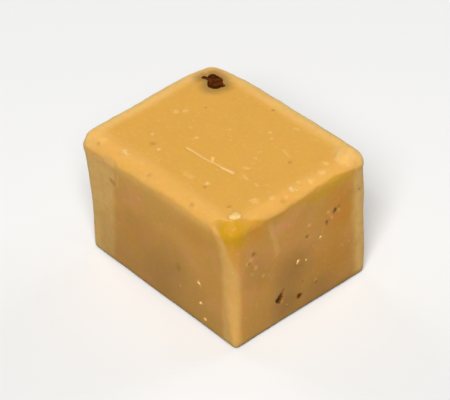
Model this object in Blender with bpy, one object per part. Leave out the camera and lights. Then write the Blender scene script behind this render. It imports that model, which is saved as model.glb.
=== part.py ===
"""A bite-sized cube of butter fudge, cut by hand from a slab, with raisin pieces set in its faces.

Metres, +Z up. The origin is at the middle of the flat underside. +X runs along the length, +Y along
the width, and the front face looks along -Y. The block is one solid with a pocket for each raisin,
and each raisin is a solid of its own that fills its pocket but for a thin gap.
"""

import math

import bmesh
import bpy
from mathutils import Quaternion, Vector, noise

# The block, measured between its faces before its corners wander.
LENGTH = 0.0268
WIDTH = 0.0210
HEIGHT = 0.0175
HALF = Vector((LENGTH, WIDTH, HEIGHT)) / 2

# Each upright edge, by the sides it joins: how far the hand cut put its top and its foot from true,
# and how much its upper corner is worn back.
CORNERS = {
    (-1, -1): {"top": Vector((0.0001, -0.0004, 0)), "foot": Vector((0.0005, 0.0004, 0)), "worn": 0},
    (1, -1): {"top": Vector((-0.0001, 0, 0)), "foot": Vector((-0.0002, 0, 0)), "worn": 0},
    (1, 1): {"top": Vector((0.0004, 0.0004, 0)), "foot": Vector((-0.0003, -0.0006, 0)), "worn": 0.0004},
    (-1, 1): {"top": Vector((-0.0005, 0.0003, 0)), "foot": Vector((-0.0001, 0, 0)), "worn": 0.0015},
}
WORN_POWER = 4  # how closely the wear keeps to its corner

# Rounding, softest along the top and nearly sharp where the cut meets the board.
TOP_ROUND = {(1, 0): 0.0015, (-1, 0): 0.0020, (0, -1): 0.0020, (0, 1): 0.0018}
FOOT_ROUND = 0.0007
ROUND_RISE = 0.5  # share of the height over which the upright edges reach their full rounding
SIDE_PULL = 4  # how sharply one side's rounding gives way to the next

# The faces aren't flat: the top is slightly dished, and slow swells run over the cut sides.
DISH = 0.00015
SWELL = 0.00008
SWELL_LENGTH = 0.0085
SWELL_START = Vector((3.1, 7.4, 1.9))
NOISE_SEED = 24  # without a seed of its own, noise_vector takes one from the clock

SEGMENTS = 22  # mesh squares along each edge of the block

# Each raisin: the middle of its mouth on the unit cube's skin, the way it looks out, its length, width
# and depth, how far it is turned about that way, and how far it stands out of its face.
RAISINS = {
    "raisin_top": {
        "mouth": Vector((-0.709, 0.684, 1)),
        "out": Vector((0, 0, 1)),
        "size": Vector((0.0037, 0.0024, 0.0021)),
        "turn": math.radians(-5),
        "proud": 0.00035,
    },
    "raisin_back": {
        "mouth": Vector((0.385, 1, -0.28)),
        "out": Vector((0, 1, 0)),
        "size": Vector((0.0037, 0.0029, 0.0022)),
        "turn": math.radians(-38),
        "proud": 0.00035,
    },
    "raisin_left": {
        "mouth": Vector((-1, -0.26, 0.25)),
        "out": Vector((-1, 0, 0)),
        "size": Vector((0.0029, 0.0024, 0.0020)),
        "turn": math.radians(65),
        "proud": 0.00030,
    },
}
RAISIN_GAP = 0.0003  # clear space between a raisin and its pocket
RAISIN_DETAIL = 3  # icosphere subdivisions
CREASE_DEPTH = 0.16  # share of a raisin's radius
CREASE_SPACING = 0.75  # in raisin radii
CREASE_SHARPNESS = 3

FUDGE_COLOUR = (0.70, 0.36, 0.075)
RAISIN_COLOUR = (0.060, 0.018, 0.008)


def smooth_step(low, high, value):
    """0 below low, 1 above high, and a smooth rise between them."""
    share = min(1.0, max(0.0, (value - low) / (high - low)))
    return share * share * (3 - 2 * share)


def edge_radius(unit):
    """The rounding next to a point of the unit cube's skin."""
    pulls = {side: max(0.0, unit.x * side[0] + unit.y * side[1]) ** SIDE_PULL for side in TOP_ROUND}
    if not any(pulls.values()):
        return FOOT_ROUND
    top = sum(pull * TOP_ROUND[side] for side, pull in pulls.items()) / sum(pulls.values())
    return FOOT_ROUND + (top - FOOT_ROUND) * smooth_step(-1, 2 * ROUND_RISE - 1, unit.z)


def rounded(unit):
    """Moves a point of the unit cube's skin onto a box whose edges and corners are round."""
    radius = edge_radius(unit)
    spread = unit * HALF
    core = Vector(min(reach - radius, max(radius - reach, along)) for along, reach in zip(spread, HALF))
    return core + (spread - core).normalized() * radius


def hand_cut(share):
    """How far the cuts and the wear of the upright edges move a point, given as shares of HALF."""
    moved = Vector()
    height = (share.z + 1) / 2
    for side, corner in CORNERS.items():
        weight = (1 + side[0] * share.x) * (1 + side[1] * share.y) / 4
        moved += weight * corner["foot"].lerp(corner["top"], height)
        nearness = max(0.0, side[0] * share.x) * max(0.0, side[1] * share.y)
        worn = corner["worn"] * nearness**WORN_POWER * smooth_step(0, 1, height)
        moved -= worn * Vector((*side, 0))
    return moved


def swell(point, share):
    """The slow unevenness of a hand-cut face, which leaves the underside flat."""
    moved = noise.noise_vector(point / SWELL_LENGTH + SWELL_START) * SWELL
    moved.z *= smooth_step(-1, 1, share.z)
    moved.z -= DISH * (1 - share.x**2) * (1 - share.y**2) * max(0.0, share.z)
    return moved


def on_block(unit):
    """Where a point of the unit cube's skin lies on the finished block."""
    point = rounded(unit)
    share = Vector(along / reach for along, reach in zip(point, HALF))
    return point + hand_cut(share) + swell(point, share) + Vector((0, 0, HALF.z))


def material(name, colour, roughness):
    """A plain finish for one kind of piece."""
    made = bpy.data.materials.new(name)
    made.use_nodes = True
    shader = made.node_tree.nodes["Principled BSDF"]
    shader.inputs["Base Color"].default_value = (*colour, 1)
    shader.inputs["Roughness"].default_value = roughness
    shader.inputs["Metallic"].default_value = 0
    return made


def finished(name, shape, finish):
    """Turns a bmesh into a named object with its finish, shaded smooth."""
    mesh = bpy.data.meshes.new(name)
    shape.to_mesh(mesh)
    shape.free()
    mesh.shade_smooth()
    mesh.materials.append(finish)
    made = bpy.data.objects.new(name, mesh)
    bpy.context.scene.collection.objects.link(made)
    return made


def fudge_block(finish):
    """The block before its pockets are cut, with its mesh lines gathered towards the round edges."""
    shape = bmesh.new()
    bmesh.ops.create_cube(shape, size=2)
    bmesh.ops.subdivide_edges(shape, edges=shape.edges[:], cuts=SEGMENTS - 1, use_grid_fill=True)
    for vertex in shape.verts:
        vertex.co = on_block(Vector(math.sin(axis * math.pi / 2) for axis in vertex.co))
    return finished("fudge_block", shape, finish)


def raisin_shape(size, seed, grown):
    """A creased lump of the given length, width and depth, grown outwards all over by a little."""
    shape = bmesh.new()
    bmesh.ops.create_icosphere(shape, subdivisions=RAISIN_DETAIL, radius=1)
    for vertex in shape.verts:
        out = vertex.co.normalized()
        off_crease = abs(noise.noise(out / CREASE_SPACING + Vector((seed, 0, 0)))) * CREASE_SHARPNESS
        radius = 1 - CREASE_DEPTH * max(0.0, 1 - off_crease)
        vertex.co = out * radius * size / 2
    shape.normal_update()
    for vertex, move in [(vertex, vertex.normal * grown) for vertex in shape.verts]:
        vertex.co += move
    return shape


def place_raisin(made, facts):
    """Sets a raisin or its cutter into its face, with its depth along the way it looks out."""
    made.location = on_block(facts["mouth"]) - facts["out"] * (facts["size"].z / 2 - facts["proud"])
    made.rotation_mode = "QUATERNION"
    turn = Quaternion((0, 0, 1), facts["turn"])
    made.rotation_quaternion = facts["out"].to_track_quat("Z", "Y") @ turn


def cut_pocket(block, cutter):
    """Takes a raisin's pocket out of the block."""
    cutter.hide_render = True
    cutter.display_type = "WIRE"
    pocket = block.modifiers.new(cutter.name, "BOOLEAN")
    pocket.operation = "DIFFERENCE"
    pocket.solver = "EXACT"
    pocket.object = cutter


def main():
    noise.seed_set(NOISE_SEED)
    for old in list(bpy.data.objects):
        bpy.data.objects.remove(old)
    fudge = material("fudge", FUDGE_COLOUR, 0.55)
    fruit = material("raisin", RAISIN_COLOUR, 0.45)
    block = fudge_block(fudge)
    for seed, (name, facts) in enumerate(RAISINS.items()):
        place_raisin(finished(name, raisin_shape(facts["size"], seed, 0), fruit), facts)
        cutter = finished("pocket_of_" + name, raisin_shape(facts["size"], seed, RAISIN_GAP), fudge)
        place_raisin(cutter, facts)
        cut_pocket(block, cutter)


main()
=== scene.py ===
"""The looks of a hand-cut cube of butter fudge with raisins, laid out as an add-on and run as a script.

The block gets its worn and pitted surface, its raisins and the crumbs that cling to it, and stands on a
plain stage. Metres, +Z up, in the part's own frame: +X is the right side, -Y the front.
"""

import math
from collections import namedtuple
from random import Random

import bmesh
import bpy
from bpy.props import FloatProperty, FloatVectorProperty, IntProperty, PointerProperty
from mathutils import Matrix, Quaternion, Vector, kdtree, noise
from mathutils.bvhtree import BVHTree


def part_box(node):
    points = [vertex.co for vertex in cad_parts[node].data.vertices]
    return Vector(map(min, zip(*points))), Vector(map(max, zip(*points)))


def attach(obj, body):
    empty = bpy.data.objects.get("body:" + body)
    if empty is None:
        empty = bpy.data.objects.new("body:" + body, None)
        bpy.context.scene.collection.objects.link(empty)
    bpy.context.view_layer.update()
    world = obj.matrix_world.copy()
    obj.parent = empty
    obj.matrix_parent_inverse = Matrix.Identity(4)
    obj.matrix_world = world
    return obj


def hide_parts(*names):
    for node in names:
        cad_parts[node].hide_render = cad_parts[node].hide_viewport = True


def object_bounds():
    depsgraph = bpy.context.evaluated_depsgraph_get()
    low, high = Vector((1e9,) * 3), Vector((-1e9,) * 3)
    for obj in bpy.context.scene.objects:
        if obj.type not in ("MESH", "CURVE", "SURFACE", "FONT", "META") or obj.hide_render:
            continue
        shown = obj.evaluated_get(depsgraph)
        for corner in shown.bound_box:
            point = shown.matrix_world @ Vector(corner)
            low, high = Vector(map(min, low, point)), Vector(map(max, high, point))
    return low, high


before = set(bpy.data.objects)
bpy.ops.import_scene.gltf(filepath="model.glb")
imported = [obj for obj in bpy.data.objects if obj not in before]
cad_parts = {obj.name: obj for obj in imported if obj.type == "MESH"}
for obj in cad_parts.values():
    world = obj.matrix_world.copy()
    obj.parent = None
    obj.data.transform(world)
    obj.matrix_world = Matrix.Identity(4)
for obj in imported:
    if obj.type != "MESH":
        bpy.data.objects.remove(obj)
CAD_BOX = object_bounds()

bl_info = {
    "name": "Fudge Cube",
    "version": (1, 0, 0),
    "blender": (4, 5, 0),
    "location": "3D View > Sidebar > Fudge Cube",
    "description": "Dresses the packed fudge cube with its surface, raisins, crumbs and stage",
    "category": "Object",
}

MM = 0.001

# ---- The form of the block, as the part has it ----

BLOCK_LOW, BLOCK_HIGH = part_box("fudge_block")
CUT_WANDER = Vector((0.00023, 0.0003, 0.0))  # how far the crooked cuts reach past the true block
HALF = (BLOCK_HIGH - BLOCK_LOW) / 2 - CUT_WANDER
TOP = BLOCK_HIGH.z

# Each upright edge, by the sides it joins: how far its top and its foot are from true, and how much
# its upper corner is worn back.
CORNERS = {
    (-1, -1): (Vector((0.0001, -0.0004, 0)), Vector((0.0005, 0.0004, 0)), 0),
    (1, -1): (Vector((-0.0001, 0, 0)), Vector((-0.0002, 0, 0)), 0),
    (1, 1): (Vector((0.0004, 0.0004, 0)), Vector((-0.0003, -0.0006, 0)), 0.0004),
    (-1, 1): (Vector((-0.0005, 0.0003, 0)), Vector((-0.0001, 0, 0)), 0.0015),
}
WORN_POWER = 4
TOP_ROUND = {(1, 0): 0.0015, (-1, 0): 0.0020, (0, -1): 0.0020, (0, 1): 0.0018}
FOOT_ROUND = 0.0007
SIDE_PULL = 4
DISH = 0.00015
SWELL = 0.00008
SWELL_LENGTH = 0.0085
SWELL_START = Vector((3.1, 7.4, 1.9))
noise.seed_set(24)  # for noise_vector, as the part has it


def ramp(low, high, value):
    """0 below low, 1 above high, and a smooth rise between. It falls where low is the higher."""
    share = min(1.0, max(0.0, (value - low) / (high - low)))
    return share * share * (3 - 2 * share)


def waver(point, size, *shift):
    """Noise from -1 to 1, with waves of about this size in millimetres."""
    return noise.noise(point / (size * MM) + Vector(shift or (0, 0, 0)))


def between(table, value):
    """Reads a table of places and amounts at a place, straight from one entry to the next."""
    places = sorted(table)
    if value <= places[0]:
        return table[places[0]]
    for low, high in zip(places, places[1:]):
        if value <= high:
            return table[low] + (table[high] - table[low]) * (value - low) / (high - low)
    return table[places[-1]]


def edge_radius(unit):
    """The rounding next to a point of the unit cube's skin."""
    pulls = {side: max(0.0, unit.x * side[0] + unit.y * side[1]) ** SIDE_PULL for side in TOP_ROUND}
    if not any(pulls.values()):
        return FOOT_ROUND
    top = sum(pull * TOP_ROUND[side] for side, pull in pulls.items()) / sum(pulls.values())
    return FOOT_ROUND + (top - FOOT_ROUND) * ramp(-1, 0, unit.z)


def rounded(unit):
    """Moves a point of the unit cube's skin onto a box whose edges and corners are round."""
    radius = edge_radius(unit)
    spread = unit * HALF
    core = Vector(min(reach - radius, max(radius - reach, along)) for along, reach in zip(spread, HALF))
    return core + (spread - core).normalized() * radius


def hand_cut(share):
    """How far the cuts and the wear of the upright edges move a point, given as shares of HALF."""
    moved = Vector()
    height = (share.z + 1) / 2
    for side, (top, foot, worn) in CORNERS.items():
        weight = (1 + side[0] * share.x) * (1 + side[1] * share.y) / 4
        moved += weight * foot.lerp(top, height)
        nearness = max(0.0, side[0] * share.x) * max(0.0, side[1] * share.y)
        moved -= worn * nearness**WORN_POWER * ramp(0, 1, height) * Vector((*side, 0))
    return moved


def swell(point, share):
    """The slow unevenness of a hand-cut face, which leaves the underside flat."""
    moved = noise.noise_vector(point / SWELL_LENGTH + SWELL_START) * SWELL
    moved.z *= ramp(-1, 1, share.z)
    moved.z -= DISH * (1 - share.x**2) * (1 - share.y**2) * max(0.0, share.z)
    return moved


def on_block(unit):
    """Where a point of the unit cube's skin lies on the block."""
    point = rounded(unit)
    share = Vector(along / reach for along, reach in zip(point, HALF))
    return point + hand_cut(share) + swell(point, share) + Vector((0, 0, HALF.z))


def keep_inside(point, room):
    """The point, drawn back into the part's box less some room on each side but the underside."""
    rooms = (room, room, 0)
    limits = zip(point, *CAD_BOX, rooms)
    return Vector(min(high - room, max(low + under, along)) for along, low, high, under in limits)


# ---- Marks in the surface ----

# A dent, scratch, lump or fleck along a path of points. Radius is half its width, depth goes into the
# block (less than 0 stands out), bank is the height of the rim round it, pale and dark are how much of
# those tints it has, soft is the share of its radius that slopes, rough is how uneven its outline is.
# A mark's dark is shade painted into its hollow.
Mark = namedtuple("Mark", "path radius depth bank pale dark soft rough", defaults=(0, 0, 0, 0, 0.75, 1))


def marks_on(place, rows):
    """Marks of one face, from rows of a path, a radius, depth and bank in millimetres, and the looks."""
    return [
        Mark([place(*spot) for spot in path], radius * MM, depth * MM, bank * MM, *looks)
        for path, radius, depth, bank, *looks in rows
    ]


def dots_on(place, rows, *facts):
    """Round marks of one kind on one face, from rows of a place and a radius in millimetres."""
    return marks_on(place, [([(across, up)], radius, *facts) for across, up, radius in rows])


def face_points(axis, level):
    """Makes points of the flat face at this level along an axis, from millimetres along the others."""

    def place(across, up):
        point = [across * MM, up * MM]
        point.insert(axis, level)
        return Vector(point)

    return place


on_top = face_points(2, TOP)
on_front = face_points(1, BLOCK_LOW.y)
on_right = face_points(0, BLOCK_HIGH.x)
on_back = face_points(1, BLOCK_HIGH.y)
on_left = face_points(0, BLOCK_LOW.x)


def pores_on(place, rows):
    """Pores on one face, with shade painted in them the darker the deeper they are, from rows of a place,
    a radius and a depth.
    """
    pores = []
    for across, up, radius, depth in rows:
        pores += dots_on(place, [(across, up, radius)], depth, 0.02, 0, 0.45 + 1.1 * depth)
    return pores


NAMED_MARKS = [
    # The top: a long scratch, flecks, a few pores and faint streaks.
    *marks_on(on_top, [
        ([(-1.8, -3.65), (1.2, -3.6), (2.5, -3.45), (5.4, -3.05)], 0.14, -0.03, 0, 0.8),
        ([(-1.9, -3.95), (5.6, -3.35)], 0.12, 0.03, 0, 0, 0.08),
        ([(1.7, -2.8), (2.1, -3.2)], 0.18, -0.06, 0, 0.9),
        ([(4.0, -3.3), (5.4, -3.05)], 0.22, -0.05, 0, 1.0),
        ([(1.9, -6.9), (2.7, -6.9)], 0.42, -0.02, 0, 0.35), ([(4.9, -6.45)], 0.32, -0.04, 0.02, 0.7),
        ([(5.2, -7.05)], 0.24, 0.05, 0, 0, 0.22), ([(9.8, -7.45)], 0.30, 0.05, 0, 0, 0.18),
        ([(-5.2, -6.0)], 0.36, 0.02, 0, 0, 0.20), ([(8.5, 2.9)], 0.26, 0.03, 0, 0, 0.20),
        ([(6.3, 3.9), (7.7, 3.6)], 0.18, -0.02, 0, 0.4),
        ([(5.6, -1.5), (6.0, -1.3)], 0.22, -0.03, 0, 0.6),
        ([(6.7, -2.5), (7.5, -2.7)], 0.18, -0.03, 0, 0.5),
        ([(8.8, -2.6), (9.4, -2.7)], 0.16, -0.03, 0, 0.5),
    ]),
    *dots_on(on_top, [
        (-8.0, 0.0, 0.30), (-7.3, 0.9, 0.34), (-3.9, -6.2, 0.26), (-2.5, -1.6, 0.24), (3.7, 4.4, 0.2),
        (2.7, 5.1, 0.22), (-6.6, -4.8, 0.2), (-1.0, 2.2, 0.14), (5.2, 0.6, 0.16), (0.6, 0.9, 0.12),
    ], -0.03, 0, 0.75),
    *dots_on(on_top, [(-0.2, 8.2, 0.20), (-6.2, 3.0, 0.12)], 0.07, 0, 0, 0.30),
    # The rounded edges between the top and the cut sides: dabs, nicks and crumbling spots.
    *dots_on(on_top, [
        (11.1, -4.7, 0.5), (12.0, -3.0, 0.4), (12.3, -0.3, 0.45), (12.8, 2.35, 0.45), (12.5, 4.2, 0.5),
        (12.0, 1.1, 0.3), (11.6, 5.6, 0.4), (12.9, -1.6, 0.25), (-9.8, -9.5, 0.5), (-12.4, -4.5, 0.5),
    ], -0.06, 0, 0.70),
    *dots_on(on_top, [
        (13.2, -2.2, 0.35), (-1.2, -10.2, 0.3), (6.2, -10.3, 0.3), (-10.0, -10.5, 0.25),
    ], 0.06, 0.01, 0, 0.16),
    *marks_on(on_top, [
        ([(-6.4, -9.2), (-5.8, -9.4)], 0.30, -0.10, 0, 1.0), ([(11.55, -8.1)], 0.60, -0.04, 0, 0.2),
        ([(11.6, 8.9), (12.4, 7.9)], 1.30, -0.24, 0, 0.72, 0, 0.85, 0.3),
        ([(10.5, 8.7), (11.3, 7.1)], 0.26, 0.07, 0, 0, 0.05, 0.9, 0.4),
    ]),
    # The smooth front, with a few small bits.
    *marks_on(on_front, [
        ([(-7.5, 13.3), (-7.0, 13.1)], 0.30, 0.03, 0, 0, 0.30),
        ([(-6.1, 15.3), (-6.4, 13.1)], 0.20, -0.03, 0, 0.5),
        ([(7.2, 6.9), (7.5, 6.4)], 0.20, -0.05, 0, 1.0), ([(7.4, 3.6)], 0.22, -0.06, 0, 1.0),
        ([(7.9, 1.5)], 0.22, -0.06, 0, 1.0), ([(3.8, 6.9)], 0.6, 0.04, 0, 0, 0.22),
    ]),
    # The rougher right: two holes near its foot, pores, pale bits, a crack and a smear.
    *marks_on(on_right, [
        ([(-3.65, 3.5), (-3.45, 3.9)], 0.60, 0.42, 0, 0, 1.0, 0.75, 0.7),
        ([(-3.3, 4.1), (-2.9, 4.7)], 0.34, 0.08, 0, 0, 0.35, 0.95, 0.5),
        ([(-0.55, 2.4)], 0.48, 0.28, 0, 0, 1.0, 0.75, 0.7), ([(5.1, 11.95)], 0.34, 0.18, 0, 0, 0.75),
        ([(5.7, 12.3)], 0.24, 0.04, 0, 0, 0.35), ([(3.9, 10.9)], 0.30, 0.12, 0, 0, 0.6),
        ([(2.2, 2.9)], 0.24, 0.12, 0.03, 0.3, 0.4), ([(-7.15, 12.4)], 0.30, 0.05, 0, 0, 0.4),
        ([(-7.85, 11.4)], 0.20, 0.06, 0, 0, 0.4), ([(-7.6, 11.9)], 0.26, -0.07, 0, 0.8),
        ([(-8.2, 11.6)], 0.24, -0.07, 0, 0.7), ([(-6.9, 10.3)], 0.28, -0.06, 0, 0.7),
        ([(-7.5, 9.7)], 0.24, -0.06, 0, 0.6),
        ([(-4.7, 15.2), (-3.9, 12.8), (-3.7, 10.4)], 0.34, -0.02, 0, 0.35),
    ]),
    *dots_on(on_right, [
        (2.9, 9.2, 0.26), (-0.6, 7.6, 0.28), (0.6, 7.2, 0.2), (5.6, 11.9, 0.2), (4.1, 12.3, 0.22),
        (4.6, 11.3, 0.16), (2.0, 3.4, 0.16), (-5.9, 8.6, 0.2), (6.2, 6.3, 0.16), (1.2, 12.0, 0.22),
    ], -0.05, 0, 0.85),
    # The back and the left, cut like the right, with pores, bits and a smear of their own.
    *pores_on(on_back, [
        (-6.2, 11.6, 0.38, 0.30), (-5.4, 11.0, 0.24, 0.14), (9.3, 12.9, 0.30, 0.2),
        (-9.6, 4.2, 0.44, 0.42), (-8.5, 3.4, 0.26, 0.2), (1.3, 9.8, 0.22, 0.12),
    ]),
    *pores_on(on_left, [
        (4.9, 4.1, 0.46, 0.42), (5.8, 3.2, 0.28, 0.22), (-6.9, 12.2, 0.30, 0.2),
        (2.2, 13.0, 0.24, 0.14), (-5.5, 4.8, 0.32, 0.24),
    ]),
    *dots_on(on_back, [
        (-2.4, 6.3, 0.28), (-1.6, 5.8, 0.20), (8.2, 8.8, 0.26), (-10.8, 13.2, 0.24),
    ], -0.05, 0, 0.85),
    *dots_on(on_left, [
        (-1.9, 3.4, 0.26), (7.6, 9.9, 0.26), (1.1, 6.2, 0.20), (-8.3, 7.5, 0.24),
    ], -0.05, 0, 0.85),
    *marks_on(on_back, [([(7.9, 15.0), (7.2, 11.8)], 0.34, -0.02, 0, 0.4)]),
    *marks_on(on_left, [([(6.3, 15.2), (6.9, 12.4)], 0.30, -0.02, 0, 0.4)]),
]

# Soft patches of colour in the cut sides, by tint and face: in each row a place and a reach in
# millimetres, and the amount.
PATCH_TABLE = {
    ("rosy", on_right): [
        (-3.4, 14.1, 1.3, 0.95), (-1.7, 14.0, 1.1, 0.70), (-0.8, 15.3, 0.9, 0.45), (5.0, 11.9, 1.3, 0.7),
        (3.8, 10.8, 0.7, 0.5), (-7.3, 12.0, 0.9, 0.6), (-8.2, 6.5, 1.8, 0.35),
    ],
    ("rosy", on_front): [(-3.5, 13.2, 2.2, 0.45), (5.6, 9.6, 2.0, 0.35), (2.5, 2.5, 1.5, 0.30)],
    ("rosy", on_back): [(-5.8, 11.6, 1.4, 0.5), (2.5, 14.0, 2.2, 0.4)],
    ("rosy", on_left): [(-6.5, 11.8, 1.6, 0.5), (3.5, 9.0, 2.0, 0.35)],
    ("amber", on_right): [
        (-6.4, 15.8, 2.0, 0.75), (6.5, 11.0, 3.6, 0.60), (5.6, 14.2, 2.6, 0.50), (5.0, 5.0, 4.0, 0.50),
    ],
    ("amber", on_front): [(-4.5, 7.0, 3.2, 0.25), (7.5, 13.8, 2.6, 0.35)],
    ("amber", on_back): [(-8.5, 6.0, 4.5, 0.45), (9.5, 6.0, 3.0, 0.3)],
    ("amber", on_left): [(5.5, 6.0, 3.8, 0.45)],
    # Darker patches, in the tint that also carries the painted shade towards the foot.
    ("stain", on_right): [
        (-1.6, 7.0, 3.6, 0.45), (-2.5, 2.5, 2.6, 0.40), (-6.6, 9.6, 2.6, 0.26), (2.5, 1.5, 3.0, 0.30),
    ],
    ("stain", on_front): [(0.0, 3.5, 4.0, 0.25), (-2.5, 8.5, 3.5, 0.15), (2.6, 7.6, 3.4, 0.24)],
    ("stain", on_back): [(0.0, 3.0, 4.5, 0.3)],
    ("stain", on_left): [(-1.0, 3.5, 4.0, 0.35)],
}
PATCHES = [
    (tint, place(across, up), reach * MM, amount)
    for (tint, place), rows in PATCH_TABLE.items()
    for across, up, reach, amount in rows
]


# ---- Settings that a user would change ----


def colour(name, description, default):
    """A colour setting, as linear red, green and blue."""
    return FloatVectorProperty(
        name=name, description=description, default=default, subtype="COLOR", size=3, min=0, max=1
    )


def number(name, description, default, **kind):
    """A number setting."""
    return FloatProperty(name=name, description=description, default=default, **kind)


def distance(name, description, default):
    """A length setting."""
    return number(name, description, default, unit="LENGTH", min=0, precision=6)


def angle(name, description, degrees):
    """An angle setting, from degrees."""
    return number(name, description, math.radians(degrees), subtype="ANGLE")


class FudgeBodySettings(bpy.types.PropertyGroup):
    """The block's surface."""

    spacing: distance("Mesh spacing", "Size of the mesh squares away from the marks", 0.00032)
    room: distance("Room", "Space kept between the surface and the part's box", 0.00002)
    unevenness: distance("Unevenness", "Height of the soft hollows in the faces", 0.00005)
    grain: distance("Grain", "Height of the smallest bumps that are modelled", 0.00002)
    rim_bumps: distance("Rim bumps", "Height of the bumps along the rounded top edges", 0.00007)
    brow: distance("Brow", "How far the skin overhangs the cut sides, under the top edges", 0.00010)
    pores: IntProperty(name="Pores", description="Small pores over the whole block", default=70, min=0)
    butter: colour("Butter", "Fudge at the top, fresh from the slab", (0.78, 0.415, 0.078))
    caramel: colour("Caramel", "Fudge of the cut sides", (0.74, 0.370, 0.085))
    rosy: colour("Rosy", "Warm patches in the sides", (0.84, 0.375, 0.15))
    amber: colour("Amber", "Orange-brown patches in the sides", (0.75, 0.31, 0.032))
    olive: colour("Olive", "Cool patches in the sides", (0.62, 0.36, 0.07))
    # Pale: sugary bits and scuffs, and also painted light: the sheen on the rim band and ribbon, the rim
    # light by the far edges, the column and the upper sides.
    pale: colour("Pale", "Scuffed edges and sugary bits", (0.91, 0.575, 0.20))
    # Painted glow: a gold that stands for light shining through the fudge just under the top edges.
    golden: colour("Golden", "Clear fudge just under the top edges", (0.715, 0.395, 0.017))
    # Smear colour: stains from a raisin or from handling, and also the painted shade that darkens the
    # sides towards the foot.
    smear_and_shade: colour("Smear", "Fudge stained by a raisin or by handling", (0.38, 0.20, 0.06))
    # Pore colour: painted shade inside pores, holes, cracks and the raisins' seats, and on the rounded
    # edges of the gold corner.
    pore_shade: colour("Pore", "The inside of a pore", (0.15, 0.050, 0.001))


class RaisinSettings(bpy.types.PropertyGroup):
    """The raisins."""

    crease_depth: number("Crease depth", "Depth of the wrinkles, as a share", 0.35, min=0, max=0.5)
    flesh: colour("Flesh", "Raised folds", (0.130, 0.028, 0.001))
    # Painted shade: the colour of the bottoms of the wrinkles, laid on by how deep each crease is.
    fold: colour("Fold", "The bottom of the wrinkles", (0.045, 0.010, 0.001))
    blotch: colour("Blotch", "Lighter blotches in the skin", (0.17, 0.045, 0.007))
    bloom: colour("Bloom", "Sugar and fudge smeared on the raisin", (0.30, 0.12, 0.03))


class CrumbSettings(bpy.types.PropertyGroup):
    """The crumbs and sugar grains that cling to the block."""

    count: IntProperty(name="Count", description="How many crumbs there are", default=30, min=0)
    size: distance("Size", "Radius of a middling small crumb", 0.00008)
    tint: colour("Tint", "Colour of the crumbs", (0.89, 0.53, 0.16))
    sugar: colour("Sugar", "Colour of the sugary grains among them", (0.97, 0.67, 0.27))


class StageSettings(bpy.types.PropertyGroup):
    """The floor, the lights and the camera."""

    floor: colour("Floor", "Colour of the floor", (0.93, 0.93, 0.92))
    floor_bounce: colour("Bounce", "Light that the floor throws back at the block", (0.18, 0.18, 0.18))
    front_power: number("Front light", "Power of the light in front", 15.6, min=0, unit="POWER")
    back_power: number("Side lights", "Power of each light at the side", 5.6, min=0, unit="POWER")
    sky: number("Sky", "Strength of the light from all round", 0.06, min=0)
    azimuth: angle("Azimuth", "Camera's way round from the front", 50.86)
    elevation: angle("Elevation", "Camera's height over the floor", 38.15)
    roll: angle("Roll", "Camera's turn about its own view", -3.41)
    reach: distance("Distance", "From the camera to the middle of the block", 0.3328)
    lens: number("Lens", "Focal length in millimetres", 228, min=1)


# ---- Materials ----


class Value:
    """One socket of a node tree, which takes part in sums as Python numbers do."""

    def __init__(self, nodes, socket):
        self.nodes = nodes
        self.socket = socket

    def sum(self, operation, first, second):
        """A Math node of two values."""
        return self.nodes.add("ShaderNodeMath", {"operation": operation}, {0: first, 1: second})

    def __add__(self, other):
        return self.sum("ADD", self, other)

    def __rsub__(self, other):
        return self.sum("SUBTRACT", other, self)

    def __mul__(self, other):
        return self.sum("MULTIPLY", self, other)

    __radd__ = __add__
    __rmul__ = __mul__


class Nodes:
    """The node tree of a material or a world, to which nodes are added one at a time."""

    def __init__(self, owner):
        owner.use_nodes = True
        self.owner = owner
        self.tree = owner.node_tree

    def add(self, kind, settings, inputs, output=0):
        """Adds a node of this kind. Settings are set before the inputs, which are values or links."""
        node = self.tree.nodes.new(kind)
        for name, setting in settings.items():
            setattr(node, name, setting)
        for name, value in inputs.items():
            self.feed(node.inputs[name], value)
        return Value(self, node.outputs[output])

    def feed(self, socket, value):
        """Links a value to a socket, or sets the socket to a plain number or colour."""
        if isinstance(value, Value):
            self.tree.links.new(value.socket, socket)
        elif socket.type == "RGBA":
            socket.default_value = (*value, 1)
        else:
            socket.default_value = value


class Finish(Nodes):
    """A material, made up round its Principled shader."""

    def __init__(self, name):
        super().__init__(bpy.data.materials.new(name))
        self.shader = self.tree.nodes["Principled BSDF"]

    def mixed(self, share, first, second):
        """The first colour, with a share of the second over it."""
        inputs = {"Factor": share, 6: first, 7: second}
        return self.add("ShaderNodeMix", {"data_type": "RGBA"}, inputs, output=2)

    def spots(self, size, detail=2.0, roughness=0.5, shift=None):
        """Noise from 0 to 1 over the piece's own coordinates, with blobs of about this size in metres."""
        where = self.add("ShaderNodeTexCoord", {}, {}, output="Object")
        if shift:
            where = self.add("ShaderNodeVectorMath", {"operation": "ADD"}, {0: where, 1: shift})
        inputs = {"Vector": where, "Scale": 1 / size, "Detail": detail, "Roughness": roughness}
        return self.add("ShaderNodeTexNoise", {}, inputs)

    def steps(self, value, low, high):
        """A smooth rise from 0 at low to 1 at high."""
        inputs = {"Value": value, "From Min": low, "From Max": high}
        return self.add("ShaderNodeMapRange", {"interpolation_type": "SMOOTHSTEP"}, inputs)

    def tint(self, name):
        """One of the amounts stored on the mesh's vertices."""
        return self.add("ShaderNodeAttribute", {"attribute_name": name}, {}, output="Fac")

    def bump(self, height, depth):
        """A normal bent by a height that goes from 0 to 1 over this depth in metres."""
        return self.add("ShaderNodeBump", {}, {"Height": height, "Distance": depth, "Strength": 1.0})

    def set(self, **values):
        """Feeds the shader's own sockets, named with _ for a space."""
        for name, value in values.items():
            self.feed(self.shader.inputs[name.replace("_", " ")], value)


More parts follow.
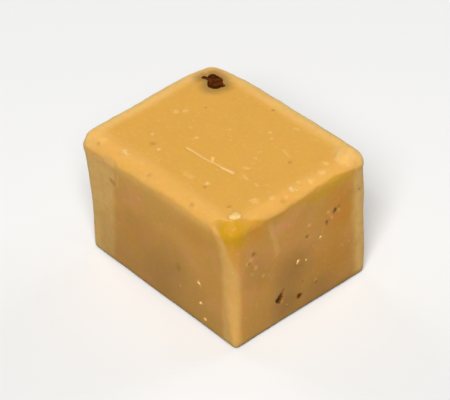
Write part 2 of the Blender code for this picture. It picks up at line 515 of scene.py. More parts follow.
def fudge_finish(settings):
    """Waxy butter fudge: mottled, paler where it is scuffed and where light is painted on its edges, with
    a painted glow of gold just under its top edges, and shade painted in its pores and towards its foot.
    """
    finish = Finish("butter_fudge")
    side = finish.tint("side")
    scuff_and_painted_light = finish.tint("pale")
    mottle = finish.steps(finish.spots(0.0042, detail=3.0), 0.38, 0.66)
    flushed = finish.steps(finish.spots(0.0028, detail=2.5, shift=(0.4, 0.2, 0.7)), 0.50, 0.66)
    body = finish.mixed(side, settings.butter, settings.caramel)
    body = finish.mixed(mottle * (0.10 + 0.25 * side), body, settings.olive)
    body = finish.mixed(flushed * side * 0.3, body, settings.rosy)
    # The gold in this loop is a painted glow just under the top edges. The rosy and amber are patches of
    # the fudge's own colour.
    for name in ("rosy", "amber", "golden"):
        body = finish.mixed(finish.tint(name), body, getattr(settings, name))
    specks = finish.steps(finish.spots(0.00042, detail=1.0), 0.60, 0.74)
    body = finish.mixed(specks * 0.22, body, settings.pale)
    powder = finish.steps(finish.spots(0.0009, detail=4.0, roughness=0.65), 0.30, 0.62)
    # Scuffs and sugary bits, and the painted light along the edges and the upper sides, all in the pale
    # tint.
    body = finish.mixed(scuff_and_painted_light * (0.6 + 0.4 * powder), body, settings.pale)
    # Raisin stains and darker patches, and the painted shade towards the foot.
    body = finish.mixed(finish.tint("stain"), body, settings.smear_and_shade)
    # Painted shade in pores, holes and seats, and on the rounded edges of the gold corner.
    body = finish.mixed(finish.tint("dark"), body, settings.pore_shade)
    grain = finish.spots(0.00016, detail=3.0, roughness=0.6)
    waves = finish.spots(0.0006, detail=2.0)
    finish.set(
        Base_Color=body,
        Roughness=0.46 + 0.12 * scuff_and_painted_light + 0.10 * side,
        Normal=finish.bump(grain * 0.35 + waves * 0.65, 0.000035),
        Subsurface_Weight=1.0,
        Subsurface_Radius=(1.0, 0.50, 0.16),
        Subsurface_Scale=0.0016,
        Specular_IOR_Level=0.14,
    )
    return finish.owner


def raisin_finish(settings):
    """Dark wrinkled skin, browner on its folds, with shade painted into the bottoms of its wrinkles and a
    little sugar bloom.
    """
    finish = Finish("raisin")
    folds = finish.tint("fold")
    # Painted shade in the wrinkles: the deeper the crease, the more of the darker colour.
    skin = finish.mixed(folds, settings.flesh, settings.fold)
    blotches = finish.steps(finish.spots(0.0007, detail=3.0), 0.5, 0.75)
    skin = finish.mixed(blotches * 0.35, skin, settings.blotch)
    bloom = finish.steps(finish.spots(0.0011, detail=4.0, shift=(0.3, 0.1, 0.5)), 0.62, 0.78)
    skin = finish.mixed(bloom * (1 - folds) * 0.3, skin, settings.bloom)
    finish.set(
        Base_Color=skin,
        Roughness=0.45 + 0.3 * bloom,
        Specular_IOR_Level=0.05,
        Normal=finish.bump(finish.spots(0.00012, detail=3.0), 0.00003),
        Subsurface_Weight=0.25,
        Subsurface_Radius=(1.0, 0.3, 0.15),
        Subsurface_Scale=0.0004,
    )
    return finish.owner


def crumb_finish(settings):
    """Pale sugary crumbs."""
    finish = Finish("sugary_crumb")
    speckle = finish.steps(finish.spots(0.00025, detail=3.0, roughness=0.6), 0.40, 0.70)
    finish.set(
        Base_Color=finish.mixed(speckle, settings.tint, settings.sugar),
        Roughness=0.5,
        Specular_IOR_Level=0.3,
        Normal=finish.bump(finish.spots(0.00012, detail=3.0), 0.00003),
        Subsurface_Weight=0.0,
    )
    return finish.owner


def floor_finish(settings):
    """A plain matt floor, which throws less light back at the block than it seems to."""
    finish = Finish("pale_floor")
    to_camera = finish.add("ShaderNodeLightPath", {}, {}, output="Is Camera Ray")
    shade = finish.mixed(to_camera, settings.floor_bounce, settings.floor)
    finish.set(Base_Color=shade, Roughness=0.9, Specular_IOR_Level=0.1)
    return finish.owner


# ---- Making pieces ----


def finished(name, shape, material):
    """Turns a bmesh into a named object at the origin, shaded smooth."""
    mesh = bpy.data.meshes.new(name)
    shape.to_mesh(mesh)
    shape.free()
    mesh.shade_smooth()
    mesh.materials.append(material)
    piece = bpy.data.objects.new(name, mesh)
    bpy.context.scene.collection.objects.link(piece)
    return piece


def add_to_part(piece, slot, *nodes):
    """Makes the piece ride with the part, in place of the nodes that it stands for."""
    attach(piece, "root")
    if nodes:
        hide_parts(*nodes)


# ---- The raisins' seats ----

# A hollow that one raisin fills: the raisin's middle, the ways out of the face and across it, and the
# outline as round-ended strokes: two places across and up from the middle and a half width, in mm.
Seat = namedtuple("Seat", "node middle out across strokes")
RAISIN_PROUD = 0.00033  # how far the part's raisins stand out of their faces


def seat(node, out, across, strokes):
    """The seat of the raisin in one of the part's nodes."""
    low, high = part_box(node)
    half = (high - low) / 2
    reach = sum(abs(way) * along for way, along in zip(out, half))
    middle = (low + high) / 2 + Vector(out) * (reach - RAISIN_PROUD)
    return Seat(node, middle, Vector(out), Vector(across), strokes)


SEATS = [
    seat("raisin_top", (0, 0, 1), (1, 0, 0), [
        ((-0.41, 0.21), (0.33, -0.07), 0.68),
        ((0.33, -0.07), (0.96, -0.65), 0.92),
        ((0.90, -0.40), (1.65, -0.19), 0.42),
        ((-1.11, -0.58), (-0.39, -0.33), 0.38),
    ]),
    seat("raisin_back", (0, 1, 0), (-1, 0, 0), [
        ((-0.9, 0.5), (0.8, -0.5), 0.95),
        ((0.2, 0.4), (0.9, 0.9), 0.45),
    ]),
    seat("raisin_left", (-1, 0, 0), (0, -1, 0), [
        ((-0.5, -0.4), (0.5, 0.6), 0.85),
        ((0.3, -0.5), (0.9, -0.6), 0.4),
    ]),
]


def off_line(point, start, end):
    """Distance from a point to the straight line between two others, in space or on a flat face."""
    along = end - start
    share = max(0.0, min(1.0, (point - start).dot(along) / max(along.length_squared, 1e-12)))
    return (point - start - along * share).length


def off_seat(point, seat):
    """How far a point of the surface lies outside a seat's outline, less than 0 inside, in metres."""
    up = seat.out.cross(seat.across)
    reach = point - seat.middle
    place = Vector((reach.dot(seat.across), reach.dot(up))) / MM
    gaps = [off_line(place, Vector(start), Vector(end)) - width for start, end, width in seat.strokes]
    return (min(gaps) + 0.12 * waver(point, 0.7) + 0.04 * waver(point, 0.28)) * MM


# ---- The block's surface ----

GATHER = 0.35  # how much the mesh lines draw towards the block's edges
RIM_DEPTHS = (2.4, 0.03)  # from how far to how near below the top the rim's mesh is fine
SMALL_MARK = 0.65 * MM  # the radius under which a named mark gets the finest mesh
MARK_SEED = 11
FACE_AREAS = (21 * 17, 27 * 17, 27 * 21)  # roughly, in square millimetres, by the axis they look along
TINTS = ("pale", "dark", "golden", "stain", "side", "rosy", "amber")
SEAT_DEPTH = 0.0010
SEAT_WALL = 0.00022  # how far inside its outline a seat is fully deep
SEAT_LIP = 0.00003  # how far outside it the hollow begins
SEAT_RISE = 0.00008  # how high the fudge is drawn up round a raisin
SEAT_RIM = 0.0002  # how far inside its outline a seat is fully stained
SEAT_REACH = 3.4 * MM  # how far from a raisin's middle its seat can matter
SEAT_FINE, SEAT_FINEST = 2.6 * MM, 2.2 * MM  # how far from it the mesh is made fine and finest
SEAT_FLOW = 0.0005  # how far out the fudge rises round a raisin
SEAT_HALO = 0.0016  # how far out the raisin has stained the fudge


def body_grid(spacing):
    """A cube of squares of about one true size, with its corners still those of the unit cube."""
    shape = bmesh.new()
    bmesh.ops.create_cube(shape, size=2)
    for axis in range(3):
        along = [edge for edge in shape.edges if abs(edge.verts[0].co[axis] - edge.verts[1].co[axis]) > 1]
        cuts = round(2 * HALF[axis] / spacing) - 1
        bmesh.ops.subdivide_edges(shape, edges=along, cuts=cuts, use_grid_fill=True)
    for vertex in shape.verts:
        eased = [math.sin(along * math.pi / 2) for along in vertex.co]
        vertex.co = Vector(along + GATHER * (ease - along) for along, ease in zip(vertex.co, eased))
    return shape


def halve(shape, chosen):
    """Halves the chosen mesh squares."""
    edges = {edge for face in chosen for edge in face.edges}
    bmesh.ops.subdivide_edges(shape, edges=list(edges), cuts=1, use_grid_fill=True)


def search_tree(points):
    """A search tree of some points."""
    tree = kdtree.KDTree(len(points))
    for index, point in enumerate(points):
        tree.insert(point, index)
    tree.balance()
    return tree


def near_places(tree, places):
    """The indices of a tree's points near any of the places, each a point and a reach."""
    return sorted({index for point, reach in places for _, index, _ in tree.find_range(point, reach)})


def refine(shape, places):
    """Halves the mesh squares near any of the places."""
    squares = shape.faces[:]
    tree = search_tree([on_block(square.calc_center_median()) for square in squares])
    halve(shape, [squares[index] for index in near_places(tree, places)])


def under_the_rim(shape):
    """The mesh squares where the skin of the top gives way to the cut sides."""
    low, high = (TOP - depth * MM for depth in RIM_DEPTHS)
    middles = [(square, square.calc_center_median()) for square in shape.faces]
    return [square for square, unit in middles if unit.z > 0.7 and low < on_block(unit).z < high]


def path_points(path, gap):
    """Points no further apart than the gap along a path."""
    points = [path[0]]
    for start, end in zip(path, path[1:]):
        count = max(1, math.ceil((end - start).length / gap))
        points += [start.lerp(end, step / count) for step in range(1, count + 1)]
    return points


def places_along(marks, share, more, gap):
    """Places along the marks, each with a share of the mark's radius and some more as its reach."""
    return [
        (point, mark.radius * share + more) for mark in marks for point in path_points(mark.path, gap)
    ]


def random_marks(count, random):
    """Small sugary flecks over the whole block, and pores in all of it but the top and the front."""
    marks = []
    while len(marks) < count:
        unit = Vector(random.uniform(-1, 1) for _ in range(3))
        axis = random.choices((0, 1, 2), weights=FACE_AREAS)[0]
        unit[axis] = random.choice((-1, 1))
        start = on_block(unit)
        size = (0.07 + 0.16 * random.random() ** 2) * MM
        path = [start, start + Vector(random.gauss(0, size) for _ in range(3))]
        kind, amount, depth = random.random(), random.random(), random.uniform(0.6, 1.4) * size
        if unit.z > 0.8 or unit.y == -1 or kind < 0.6:
            marks.append(Mark(path, size, -0.02 * MM, 0, 0.2 + 0.4 * amount))
        else:
            marks.append(Mark(path, size, depth, 0.01 * MM, 0.1, 0.3 + 0.5 * amount))
    return marks


def off_path(point, path):
    """Distance from a point to a path."""
    if len(path) == 1:
        return (point - path[0]).length
    return min(off_line(point, start, end) for start, end in zip(path, path[1:]))


def ragged(point, size):
    """The point moved about by a share of this size, so that round marks come out uneven."""
    coarse = noise.noise_vector(point / size) * 0.55
    fine = noise.noise_vector(point / (0.4 * size) + Vector((7, 7, 7))) * 0.2
    return point + (coarse + fine) * size


def snapped(mark, surface):
    """The mark with its path laid on the surface."""
    points = path_points(mark.path, 1.0 * MM)
    return mark._replace(path=[surface.find_nearest(point)[0] for point in points])


def press_marks(shape, marks, lift, tints):
    """Adds each mark's height and tints to the vertices that it reaches."""
    surface = BVHTree.FromBMesh(shape)
    tree = search_tree([vertex.co for vertex in shape.verts])
    for mark in (snapped(mark, surface) for mark in marks):
        reach = mark.radius * 2.2 + 0.5 * MM
        for index in near_places(tree, [(point, reach) for point in mark.path]):
            point = shape.verts[index].co
            moved = ragged(point, mark.rough * min(mark.radius, 0.5 * MM))
            share = off_path(moved, mark.path) / mark.radius
            uneven = 1 + 0.5 * noise.noise(point / (0.6 * mark.radius))
            lift[index] -= mark.depth * uneven * ramp(1.0, 1 - mark.soft, share)
            lift[index] += mark.bank * uneven * math.exp(-(((share - 1.15) / 0.28) ** 2))
            # The dark is shade painted into the hollow. A wider ring round it is stained darker.
            amounts = {
                "pale": mark.pale * ramp(1.5, 0.7, share),
                "dark": mark.dark * uneven * ramp(1.1, 0.5, share),
                "stain": 0.5 * mark.dark * ramp(2.1, 1.0, share),
            }
            for name, amount in amounts.items():
                tints[name][index] = max(tints[name][index], amount)


def press_seats(shape, lift, tints):
    """Hollows out the raisins' seats, with the fudge drawn up and stained round them, and shade painted
    inside them under the raisin.
    """
    for vertex in shape.verts:
        for place in SEATS:
            if (vertex.co - place.middle).length > SEAT_REACH:
                continue
            off = off_seat(vertex.co, place)
            lift[vertex.index] -= SEAT_DEPTH * ramp(SEAT_LIP, -SEAT_WALL, off)
            rise = max(0.0, 1 - abs(off) / SEAT_FLOW)
            lift[vertex.index] += SEAT_RISE * rise * rise
            stained = 0.85 * ramp(SEAT_HALO, -SEAT_RIM, off)
            tints["stain"][vertex.index] = max(tints["stain"][vertex.index], stained)
            # Painted shade inside the seat, under the raisin.
            tints["dark"][vertex.index] = 0.6 * ramp(0, -SEAT_WALL, off)


# How far down the profile the smooth skin reaches, in millimetres from where the top starts to round
# over: along the front by x and along the right by y.
SKIN_FRONT = {-13: 3.4, -11: 3.3, -8.5: 2.35, -7: 1.85, -5.6: 2.4, -3: 2.35, 0: 2.25, 4: 2.15, 13: 2.2}
SKIN_RIGHT = {
    -6.5: 1.5, -5: 1.9, -2.6: 2.05, -2.2: 2.0, -1.9: 1.72,
    0.8: 1.85, 2.4: 1.62, 5.6: 1.45, 7.5: 1.9, 9.5: 2.4,
}
SKIN_ELSEWHERE = 2.3
SKIN_CORNER = 0.45
FAR_EDGE_FILL = 0.00025  # how much the far right upright edge swells at half its height
# On the right, by y: how much further down the painted glow of gold reaches, and how strong its gold is.
GLOW_REACH_RIGHT = {-6: 1.0, -2.6: 0.8, -1.2: 0.4, 0.5: 0.9, 2: 1.8, 5: 1.6, 8: 1.1}
GOLD_RIGHT = {-7: 0.6, -4: 0.35, -1: 0.4, 1.5: 0.75, 6: 0.78, 9: 0.36}
# The pale ribbon down the front upright edge, partly scuffs and partly painted sheen: its left and right
# limits by height, in millimetres from a start on the front face and then round onto the right one.
RIBBON_LEFT = {6: 0.1, 9: 0.4, 12.8: 0.4, 14.8: 0.0, 16.1: -0.9, 16.5: -1.8}
RIBBON_RIGHT = {10.5: 3.1, 12.8: 1.9, 14.8: 1.2, 16.1: 0.3, 16.9: -0.4}
RIBBON_START = 11.4
# The pale column at the left of the front face, which is painted light: where it ends at the foot, how
# that end leans with the height, and how soft it is.
COLUMN_FOOT = -8.9
COLUMN_LEAN = 0.148
COLUMN_BLUR = 0.5 * MM
# How pale the places of scuffs and painted light are. The rim's band, partly scuffs and partly painted
# sheen, is palest at the far sides as painted rim light. The strips by the other upright edges are
# painted rim light.
BAND_PALE = 0.28
FAR_BAND_PALE = 0.55
RIBBON_PALE = 0.58
STRIP_PALE = 0.88
COLUMN_PALE = 0.70
PATCH_EDGE = 1.3  # where a soft patch of colour ends, in shares of its reach
# The front right upright edge and the other three, by x and y.
NEAR_EDGE = (BLOCK_HIGH.x, BLOCK_LOW.y)
OTHER_EDGES = ((BLOCK_LOW.x, BLOCK_LOW.y), (BLOCK_LOW.x, BLOCK_HIGH.y), (BLOCK_HIGH.x, BLOCK_HIGH.y))


def edge_share(normal):
    """1 along the middle of the rounded top edges, 0 on the flat faces."""
    rise = max(0.0, normal.z)
    return 4 * rise * rise * (1 - rise * rise)


def upright_share(normal):
    """1 along the middle of the rounded upright edges, 0 on the flat faces."""
    return 4 * normal.x**2 * normal.y**2 * (1 - abs(normal.z))


def faces(normal, side):
    """How far a normal looks towards one side, from 0 to 1."""
    return ramp(0.35, 0.8, normal.x * side[0] + normal.y * side[1])


def edge_gap(point, *edges):
    """Millimetres, seen from above, from a point to the nearest of these upright edges."""
    return min(math.hypot(point.x - x, point.y - y) for x, y in edges) / MM


def profile(point, normal):
    """Millimetres down the surface from where the top starts to round over, less than 0 on the top."""
    share = Vector((point.x / HALF.x, point.y / HALF.y, point.z / HALF.z - 1))
    radius = edge_radius(share) / MM
    slope = math.asin(max(-1.0, min(1.0, normal.z)))
    down = radius * (math.pi / 2 - max(0.0, slope)) + max(0.0, TOP / MM - radius - point.z / MM)
    inside = min(HALF.x - abs(point.x), HALF.y - abs(point.y)) / MM - radius
    return down - max(0.0, inside)


def skin_limit(point, normal):
    """Where the skin ends and the cut side begins, as a place down the profile."""
    front, right = faces(normal, (0, -1)), faces(normal, (1, 0))
    limit = front * between(SKIN_FRONT, point.x / MM) + right * between(SKIN_RIGHT, point.y / MM)
    limit = limit / (front + right) if front + right > 0 else SKIN_ELSEWHERE
    step = 0.16 * waver(point, 1.3, 3, 1, 2)
    step += 0.07 * waver(point, 0.4, 8, 2, 2)
    corner = ramp(4.9, 2.3, edge_gap(point, NEAR_EDGE))
    return limit + (SKIN_CORNER - limit) * corner + step


def base_lift(point, normal, settings):
    """The unevenness of the faces, which fades towards the foot, and the brow over the cut sides."""
    side = 1 - abs(normal.z)
    soft = waver(point, 2.7, 5, 1, 8) * settings.unevenness * (0.7 + 0.5 * side)
    drag = waver(Vector((point.x, point.y, point.z * 0.18)), 0.8) * settings.grain * side
    fine = waver(point, 0.62, 2, 6, 4) * settings.grain
    rim = edge_share(normal) + 0.5 * upright_share(normal)
    bumps = waver(point, 1.15, 9, 3, 5) + 0.5 * waver(point, 0.5)
    below = profile(point, normal) - skin_limit(point, normal)
    brow = math.exp(-((below / (0.32 if below > 0 else 0.7)) ** 2))
    facet = ramp(0.1, 0.7, below) * ramp(3.4, 1.6, edge_gap(point, NEAR_EDGE))
    facet *= ramp(12 * MM, 15 * MM, point.z)
    rim *= 1 - 0.6 * max(ramp(0, -0.6, normal.x), ramp(0, 0.6, normal.y))
    filled = upright_share(normal) * ramp(0, 0.6, normal.x) * ramp(0, 0.6, normal.y)
    filled *= ramp(1.5 * MM, 6.5 * MM, point.z) * ramp(16 * MM, 11 * MM, point.z)
    total = soft + drag + fine + bumps * settings.rim_bumps * rim + (brow - 0.5 * facet) * settings.brow
    total += filled * FAR_EDGE_FILL
    return total * ramp(0, 0.8 * MM, point.z)


def ribbon_share(point):
    """How much the ribbon down the front upright edge covers a point."""
    along = (point.x + point.y - BLOCK_LOW.y) / MM - RIBBON_START
    height = point.z / MM
    left, right = between(RIBBON_LEFT, height), between(RIBBON_RIGHT, height)
    wander = 0.25 * waver(point, 1.5, 1, 5, 1)
    along += wander
    within = ramp(left - 0.3, left + 0.35, along) * ramp(right + 0.45, right - 0.35, along)
    return within * ramp(17.0, 16.3, height)


def patch_tints(point):
    """How much of each tint the soft patches give a point."""
    amounts = dict.fromkeys(TINTS, 0.0)
    moved = ragged(point, 0.9 * MM)
    for tint, middle, reach, amount in PATCHES:
        off = (moved - middle).length / reach
        if off < PATCH_EDGE:
            share = amount * ramp(PATCH_EDGE, 0.2, off)
            amounts[tint] = 1 - (1 - amounts[tint]) * (1 - share)
    return amounts


def base_tints(point, normal):
    """How pale, gold and stained the untouched surface is, and whether it is on a side. The pale is
    partly scuffs and mostly painted light, the gold is a painted glow, and the staining includes painted
    shade towards the foot.
    """
    patch = waver(point, 1.7, 4, 4, 1)
    fine = waver(point, 0.6)
    down = profile(point, normal) + 0.15 * fine
    below = down - skin_limit(point, normal)
    near = edge_gap(point, NEAR_EDGE)
    side = ramp(-0.07, 0.08 + 0.10 * ramp(3, 5, near), below)
    front, right = faces(normal, (0, -1)), faces(normal, (1, 0))

    far = max(ramp(-9.5 * MM, -12.5 * MM, point.x), ramp(7.5 * MM, 10 * MM, point.y))
    # The band along the rounded top edges: partly scuffs, partly painted sheen, palest at the far sides
    # as painted rim light.
    band = ramp(-0.9 - 0.9 * far, 0.5 - 0.5 * far, down + 0.4 * patch) * (1 - side)
    band *= BAND_PALE + FAR_BAND_PALE * far
    # The ribbon down the front upright edge: partly scuffs, partly painted sheen.
    ribbon = ribbon_share(point) if near < 6 else 0.0
    # The strips by the other three upright edges: painted rim light.
    strip = ramp(3.6, 2.1, edge_gap(point, *OTHER_EDGES) + 0.4 * patch)
    # The column at the left of the front face: painted light.
    end = (COLUMN_FOOT + COLUMN_LEAN * point.z / MM) * MM
    column = ramp(end + COLUMN_BLUR, end - COLUMN_BLUR, point.x + 0.2 * MM * fine) * front

    # Painted glow: gold just under the top edges, strongest at the front right corner and on the right,
    # standing for light shining through the fudge.
    fade = math.exp(-max(0.0, below) / 1.2)
    glow = (0.35 + 0.4 * ramp(-6 * MM, 11 * MM, point.x)) * fade
    past_glow = below - between(GLOW_REACH_RIGHT, point.y / MM) - 0.4 * patch
    glow_right = between(GOLD_RIGHT, point.y / MM) * ramp(0.7, -0.5, past_glow)
    corner = ramp(4.2, 1.8, near) * ramp(12.4 * MM, 16.4 * MM, point.z) * (1 - 0.9 * ribbon)
    golden = max(front * glow, right * glow_right, 0.3 * fade, 1.05 * corner)
    side *= 1 - 0.8 * ribbon
    amounts = patch_tints(point)
    # Painted shade: the sides darker towards the foot, less so near the front right edge and under the
    # strips.
    low = ramp(12 * MM, 0, point.z)
    amounts["stain"] += low * (0.14 + 0.24 * ramp(2, 8, near)) * (1 - 0.55 * strip)
    amounts = {name: amount * side for name, amount in amounts.items()}
    # Painted light: the sides paler just under the rim, most at the front.
    under_rim = fade * (1 - corner) * (0.58 * front + 0.25 * right)
    scuff_and_painted_light = side * max(STRIP_PALE * strip, COLUMN_PALE * column, under_rim)
    amounts["pale"] = max(band, RIBBON_PALE * ribbon, scuff_and_painted_light)
    amounts["golden"] = max(golden, 0.3 * strip) * side * (1 + 0.25 * patch)
    # Painted shade on the rounded edges of the gold corner by the front right upright edge.
    amounts["dark"] = 0.12 * corner * side * min(1.0, 1.6 * upright_share(normal) + edge_share(normal))
    amounts["stain"] += 0.18 * ribbon * ramp(16 * MM, 13 * MM, point.z) * (1 - 0.5 * low)
    amounts["side"] = side
    return amounts


def body_shape(settings):
    """The whole surface of the block as a bmesh, with its tints as vertex layers."""
    marks = NAMED_MARKS + random_marks(settings.pores, Random(MARK_SEED))
    shape = body_grid(settings.spacing)
    halve(shape, under_the_rim(shape))
    wide = places_along(marks, 1.6, 0.2 * MM, 0.4 * MM)
    refine(shape, wide + [(place.middle, SEAT_FINE) for place in SEATS])
    small = [mark for mark in NAMED_MARKS if mark.radius < SMALL_MARK]
    close = places_along(small, 1.2, 0, 0.3 * MM)
    refine(shape, close + [(place.middle, SEAT_FINEST) for place in SEATS])
    for vertex in shape.verts:
        vertex.co = on_block(vertex.co)
    # Else the many-sided faces where fine and coarse squares meet could fold back on themselves.
    uneven = [face for face in shape.faces if len(face.verts) > 4]
    bmesh.ops.triangulate(shape, faces=uneven, quad_method="BEAUTY", ngon_method="BEAUTY")
    shape.normal_update()
    shape.verts.ensure_lookup_table()
    shape.verts.index_update()
    lift = [base_lift(vertex.co, vertex.normal, settings) for vertex in shape.verts]
    tints = {name: [0.0] * len(lift) for name in TINTS}
    for vertex in shape.verts:
        for name, amount in base_tints(vertex.co, vertex.normal).items():
            tints[name][vertex.index] = amount
    press_marks(shape, marks, lift, tints)
    press_seats(shape, lift, tints)
    normals = [vertex.normal.copy() for vertex in shape.verts]
    layers = {name: shape.verts.layers.float.new(name) for name in TINTS}
    for vertex, normal, height in zip(shape.verts, normals, lift):
        vertex.co = keep_inside(vertex.co + normal * height, settings.room)
        for name, layer in layers.items():
            vertex[layer] = min(1.0, max(0.0, tints[name][vertex.index]))
    shape.normal_update()
    return shape


# ---- Raisins and crumbs ----

RAISIN_SPARE = 0.6  # how far a raisin runs on under the fudge round its seat, in millimetres
RAISIN_DEPTH = 0.8  # half its depth, in millimetres
RAISIN_BULGE = 0.15  # how much of that stands out of the face
RAISIN_SINK = 0.0006  # how far it dips under the fudge outside its seat
RAISIN_DETAIL = 6  # icosphere subdivisions
CRUMB_SINK = 0.35  # how far a crumb's middle lies under the surface, in half heights
CRUMB_SEED = 5


def seat_reach(seat):
    """How far the outline of a seat reaches from its middle, across and up, in millimetres."""
    ends = [(end, width) for start, stop, width in seat.strokes for end in (start, stop)]
    return [max(abs(end[axis]) + width for end, width in ends) for axis in range(2)]


def raisin_shape(seat, settings):
    """A wrinkled raisin that fills its seat a little past the rim, with the depth of its creases as a
    vertex layer, which paints shade into them.
    """
    shape = bmesh.new()
    bmesh.ops.create_icosphere(shape, subdivisions=RAISIN_DETAIL, radius=1)
    fold = shape.verts.layers.float.new("fold")
    up = seat.out.cross(seat.across)
    across, tall = (reach + RAISIN_SPARE for reach in seat_reach(seat))
    start = Vector((len(seat.node), seat.middle.x * 900, seat.middle.y * 900))
    for vertex in shape.verts:
        out = vertex.co.normalized()
        wander = noise.noise_vector(out * 1.3 + start) * 0.35
        wide = abs(noise.noise((out + wander) * 2.3 + start))
        thin = abs(noise.noise((out + wander) * 6.1 - start))
        crease = ramp(0.30, 0.0, wide) * 0.8 + ramp(0.22, 0.0, thin) * 0.35
        radius = 1 - settings.crease_depth * crease
        vertex[fold] = min(1.0, crease)
        place = out * radius
        rise = math.copysign(math.sqrt(abs(place.z)), place.z) - 1 + RAISIN_BULGE
        reach = seat.across * place.x * across + up * place.y * tall + seat.out * rise * RAISIN_DEPTH
        vertex.co = seat.middle + reach * MM
        outside = ramp(-0.05 * MM, 0.45 * MM, off_seat(vertex.co, seat))
        vertex.co -= seat.out * RAISIN_SINK * outside
    return shape


# The crumbs that show most: the middle of each, and half its length, width and height in millimetres.
BIG_CRUMBS = [
    (on_top(11.55, -8.10), (0.76, 0.72, 0.46)),
    (on_top(-6.1, -9.3), (0.30, 0.24, 0.18)),
    (on_top(12.2, -0.3), (0.30, 0.22, 0.14)),
    (on_top(4.9, -6.45), (0.22, 0.18, 0.12)),
    (on_front(7.3, 6.7), (0.26, 0.18, 0.14)),
    (on_front(7.4, 3.7), (0.22, 0.20, 0.14)),
    (on_front(7.9, 1.5), (0.24, 0.20, 0.14)),
    (on_right(2.9, 9.2), (0.26, 0.20, 0.08)),
    (on_right(-0.64, 7.6), (0.34, 0.24, 0.10)),
    (on_right(0.6, 7.2), (0.18, 0.14, 0.08)),
]


def crumb(shape, place, normal, size, random):
    """Adds one rough crumb of this half length, half width and half height, sunk into the surface."""
    detail = 3 if size.x > 0.2 * MM else 2
    made = bmesh.ops.create_icosphere(shape, subdivisions=detail, radius=1)
    start = Vector(random.uniform(0, 99) for _ in range(3))
    turn = normal.to_track_quat("Z", "Y") @ Quaternion((0, 0, 1), random.uniform(0, math.tau))
    for vertex in made["verts"]:
        rough = 1 + 0.35 * noise.noise(vertex.co * 0.9 + start)
        rough += 0.22 * noise.noise(vertex.co * 2.6 + start)
        vertex.co = place - normal * size.z * CRUMB_SINK + turn @ (vertex.co * rough * size)
        vertex.co = keep_inside(vertex.co, 0)


def crumbs_shape(body, settings):
    """All the crumbs: the ones that show most, then small ones, most along the top edges."""
    random = Random(CRUMB_SEED)
    surface = BVHTree.FromObject(body, bpy.context.evaluated_depsgraph_get())
    shape = bmesh.new()
    for middle, size in BIG_CRUMBS:
        place, normal, _, _ = surface.find_nearest(middle)
        crumb(shape, place, normal, Vector(size) * MM, random)
    made = 0
    while made < settings.count:
        unit = Vector(random.uniform(-1, 1) for _ in range(3))
        axis = random.randrange(3)
        unit[axis] = random.choice((-1, 1))
        place, normal, _, _ = surface.find_nearest(on_block(unit))
        wanted = 0.12 + 0.9 * edge_share(normal) + 0.5 * upright_share(normal)
        if normal.z < -0.5 or place.z < 0.5 * MM or random.random() > wanted:
            continue
        size = settings.size * random.uniform(0.5, 1.7)
        crumb(shape, place, normal, Vector((1, random.uniform(0.6, 1), 0.5)) * size, random)
        made += 1
    return shape


# ---- Operators ----


class FUDGE_OT_body(bpy.types.Operator):
    """Makes the block's worn and pitted surface"""

    bl_idname = "fudge_cube.body"
    bl_label = "Block"

    def execute(self, context):
        settings = context.scene.fudge_body
        body = finished("fudge_body", body_shape(settings), fudge_finish(settings))
        add_to_part(body, "fudge", "fudge_block")
        return {"FINISHED"}


class FUDGE_OT_raisins(bpy.types.Operator):
    """Makes the wrinkled raisins in their seats"""

    bl_idname = "fudge_cube.raisins"
    bl_label = "Raisins"

    def execute(self, context):
        settings = context.scene.fudge_raisins
        skin = raisin_finish(settings)
        for place in SEATS:
            raisin = finished(place.node + "_fruit", raisin_shape(place, settings), skin)
            add_to_part(raisin, "raisin", place.node)
        return {"FINISHED"}


class FUDGE_OT_crumbs(bpy.types.Operator):
    """Sticks pale crumbs and sugar grains to the block"""

    bl_idname = "fudge_cube.crumbs"
    bl_label = "Crumbs"

    def execute(self, context):
        settings = context.scene.fudge_crumbs
        body = bpy.data.objects.get("fudge_body")
        if body is None:
            raise RuntimeError("the block has to be made before its crumbs")
        crumbs = finished("crumbs", crumbs_shape(body, settings), crumb_finish(settings))
        add_to_part(crumbs, "fudge")
        return {"FINISHED"}


# Each soft light: its way round and its height in degrees, its size in metres, the setting of its power.
LIGHTS = {
    "front_light": (45, 47, 0.53, "front_power"),
    "right_light": (176, 15, 0.8, "back_power"),
    "left_light": (270, 15, 0.8, "back_power"),
}
LIGHT_REACH = 1.2
BACKDROP = (0.93, 0.93, 0.92)
FLOOR_RADIUS = 0.8
FLOOR_DROP = 0.00001  # how far the floor lies under the block's foot


def look_from(middle, azimuth, elevation, reach, roll=0.0):
    """A camera's or a light's place and turn, looking at the middle from this far away."""
    back = Vector((
        math.sin(azimuth) * math.cos(elevation),
        -math.cos(azimuth) * math.cos(elevation),
        math.sin(elevation),
    ))
    level = Vector((math.cos(azimuth), math.sin(azimuth), 0))
    right = level * math.cos(roll) + back.cross(level) * math.sin(roll)
    turn = Matrix((right, back.cross(right), back)).transposed().to_4x4()
    return Matrix.Translation(middle + back * reach) @ turn


def soft_light(name, middle, azimuth, elevation, size, power):
    """A square light that looks at the middle of the block."""
    lamp = bpy.data.lights.new(name, "AREA")
    lamp.size = size
    lamp.energy = power
    holder = bpy.data.objects.new(name, lamp)
    holder.matrix_world = look_from(middle, math.radians(azimuth), math.radians(elevation), LIGHT_REACH)
    bpy.context.scene.collection.objects.link(holder)


def set_sky(strength):
    """Even light from all round, which the camera sees as a pale backdrop."""
    sky = Nodes(bpy.data.worlds.new("studio"))
    sky.tree.nodes.remove(sky.tree.nodes["Background"])
    lit = sky.add("ShaderNodeBackground", {}, {"Color": (1, 1, 1), "Strength": strength})
    seen = sky.add("ShaderNodeBackground", {}, {"Color": BACKDROP})
    to_camera = sky.add("ShaderNodeLightPath", {}, {}, output="Is Camera Ray")
    either = sky.add("ShaderNodeMixShader", {}, {"Fac": to_camera, 1: lit, 2: seen})
    sky.feed(sky.tree.nodes["World Output"].inputs["Surface"], either)
    bpy.context.scene.world = sky.owner


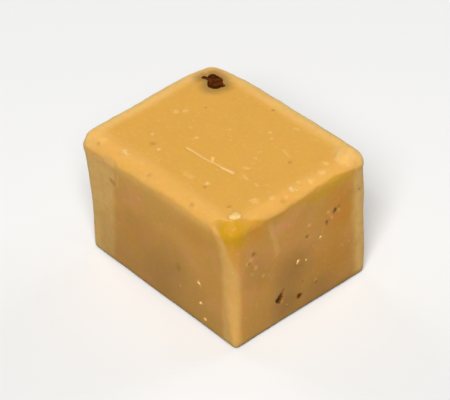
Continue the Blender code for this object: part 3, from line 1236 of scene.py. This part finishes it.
class FUDGE_OT_stage(bpy.types.Operator):
    """Sets up the floor, the soft lights and the camera"""

    bl_idname = "fudge_cube.stage"
    bl_label = "Stage"

    def execute(self, context):
        settings = context.scene.fudge_stage
        middle = (BLOCK_LOW + BLOCK_HIGH) / 2
        shape = bmesh.new()
        bmesh.ops.create_circle(shape, cap_ends=True, radius=FLOOR_RADIUS, segments=96)
        bmesh.ops.translate(shape, verts=shape.verts[:], vec=(0, 0, -FLOOR_DROP))
        finished("floor", shape, floor_finish(settings))
        for name, (azimuth, elevation, size, power) in LIGHTS.items():
            soft_light(name, middle, azimuth, elevation, size, getattr(settings, power))
        set_sky(settings.sky)
        lens = bpy.data.cameras.new("camera")
        lens.lens = settings.lens
        lens.clip_start = 0.01
        camera = bpy.data.objects.new("camera", lens)
        camera.matrix_world = look_from(
            middle, settings.azimuth, settings.elevation, settings.reach, settings.roll
        )
        context.scene.collection.objects.link(camera)
        context.scene.camera = camera
        context.scene.view_settings.view_transform = "Standard"
        return {"FINISHED"}


class FUDGE_PT_panel(bpy.types.Panel):
    """The pieces in the order in which they are made"""

    bl_label = "Fudge Cube"
    bl_idname = "FUDGE_PT_panel"
    bl_space_type = "VIEW_3D"
    bl_region_type = "UI"
    bl_category = "Fudge Cube"

    def draw(self, context):
        for operator, group, _ in PIECES:
            self.layout.operator(operator.bl_idname)
            settings = getattr(context.scene, group)
            for name in settings.bl_rna.properties.keys():
                if name not in ("rna_type", "name"):
                    self.layout.prop(settings, name)


PIECES = (
    (FUDGE_OT_body, "fudge_body", FudgeBodySettings),
    (FUDGE_OT_raisins, "fudge_raisins", RaisinSettings),
    (FUDGE_OT_crumbs, "fudge_crumbs", CrumbSettings),
    (FUDGE_OT_stage, "fudge_stage", StageSettings),
)
CLASSES = (*(kind for _, _, kind in PIECES), *(operator for operator, _, _ in PIECES), FUDGE_PT_panel)


def register():
    for made in CLASSES:
        bpy.utils.register_class(made)
    for _, group, kind in PIECES:
        setattr(bpy.types.Scene, group, PointerProperty(type=kind))


def unregister():
    for _, group, _ in PIECES:
        delattr(bpy.types.Scene, group)
    for made in reversed(CLASSES):
        bpy.utils.unregister_class(made)


def main():
    """Makes every piece and the stage."""
    register()
    bpy.ops.fudge_cube.body()
    bpy.ops.fudge_cube.raisins()
    bpy.ops.fudge_cube.crumbs()
    bpy.ops.fudge_cube.stage()


if __name__ == "__main__":
    main()
